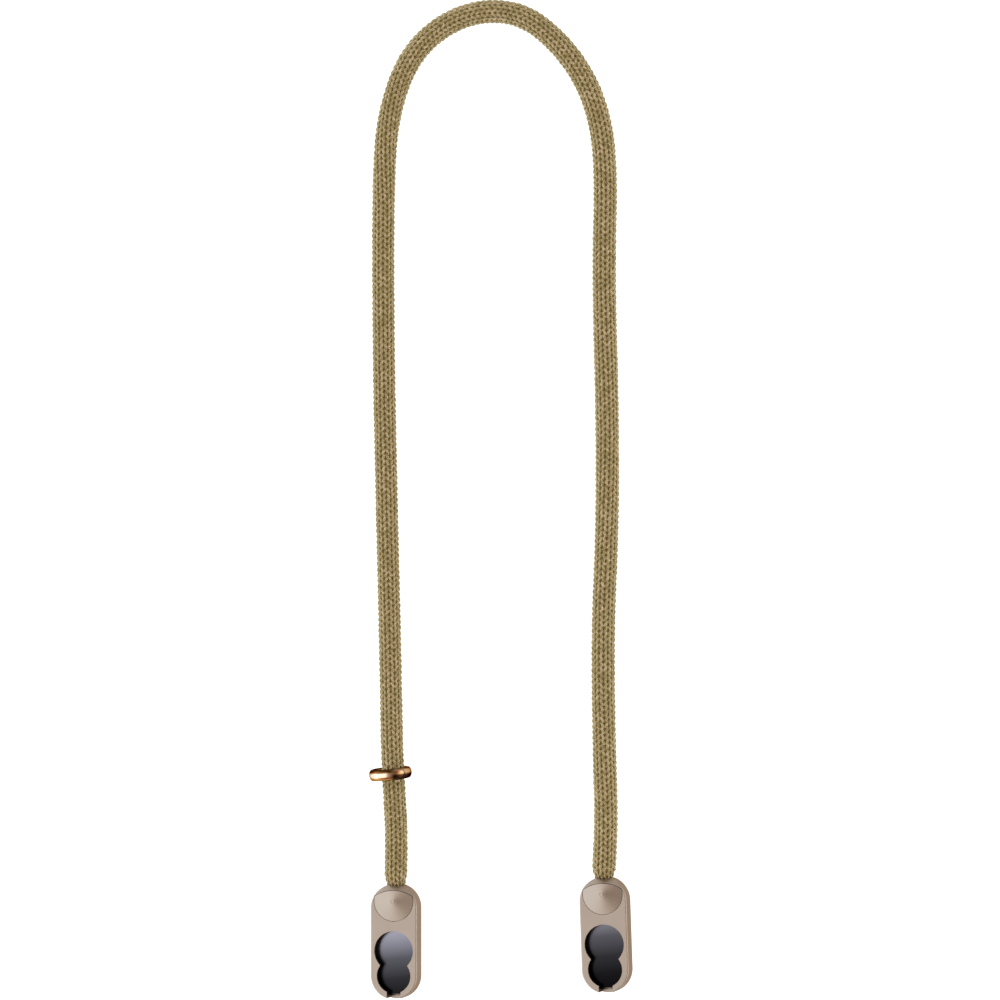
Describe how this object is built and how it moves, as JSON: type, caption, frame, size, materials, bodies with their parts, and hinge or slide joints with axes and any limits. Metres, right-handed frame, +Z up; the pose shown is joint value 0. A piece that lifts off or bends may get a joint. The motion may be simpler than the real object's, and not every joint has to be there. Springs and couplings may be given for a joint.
{
  "type": "eyewear retainer strap",
  "caption": "Knitted cord with a keyhole quick-release connector on each end and a loose metal ring on one leg, worn to keep eyewear or a small optic from falling.",
  "frame": {"origin": "bottom centre of the box round the two connectors, on the surface they lie on", "axes": "+X from the left connector to the right one, +Y from the connectors towards the top of the cord loop, +Z up out of the connectors' faces"},
  "size_m": [0.093, 0.3497, 0.015],
  "materials": {
    "champagne_metal": "satin anodised, fine bead-blasted",
    "spun_metal": "circular-brushed satin",
    "black_plate": "gloss black",
    "black_lining": "gloss black",
    "spring_steel": "bright strip",
    "screw_steel": "satin",
    "ferrule_metal": "plain",
    "knitted_cord": "knitted, matt with a slight yarn sheen",
    "core_yarn": "bundled yarn",
    "ring_brass": "polished antique brass"
  },
  "bodies": {
    "strap": {"left_front_shell": "champagne_metal", "left_back_cover": "champagne_metal", "left_liner": "black_lining", "left_leaf_spring": "spring_steel", "left_cord_ferrule": "ferrule_metal", "left_cover_screw_1": "screw_steel", "left_cover_screw_2": "screw_steel", "left_cover_screw_3": "screw_steel", "left_cover_screw_4": "screw_steel", "right_front_shell": "champagne_metal", "right_back_cover": "champagne_metal", "right_liner": "black_lining", "right_leaf_spring": "spring_steel", "right_cord_ferrule": "ferrule_metal", "right_cover_screw_1": "screw_steel", "right_cover_screw_2": "screw_steel", "right_cover_screw_3": "screw_steel", "right_cover_screw_4": "screw_steel", "cord_sheath": "knitted_cord", "cord_core": "core_yarn"},
    "left_latch": {"left_release_button": "spun_metal", "left_lock_plate": "black_plate", "left_latch_screw_1": "screw_steel", "left_latch_screw_2": "screw_steel"},
    "right_latch": {"right_release_button": "spun_metal", "right_lock_plate": "black_plate", "right_latch_screw_1": "screw_steel", "right_latch_screw_2": "screw_steel"},
    "ring": {"slider_ring": "ring_brass"}
  },
  "joints": [
    {"name": "left_release_press", "type": "slide", "parent": "strap", "child": "left_latch", "axis": [0, 0, -1], "range_m": [0, 0.0009], "stiffness_N_per_m": 600, "springref_m": -0.0008, "deforming": ["left_leaf_spring"]},
    {"name": "right_release_press", "type": "slide", "parent": "strap", "child": "right_latch", "axis": [0, 0, -1], "range_m": [0, 0.0009], "stiffness_N_per_m": 600, "springref_m": -0.0008, "deforming": ["right_leaf_spring"]},
    {"name": "ring_slide", "type": "slide", "parent": "strap", "child": "ring", "axis": [-0.0555, 0.9985, 0], "range_m": [-0.003, 0.006]}
  ]
}
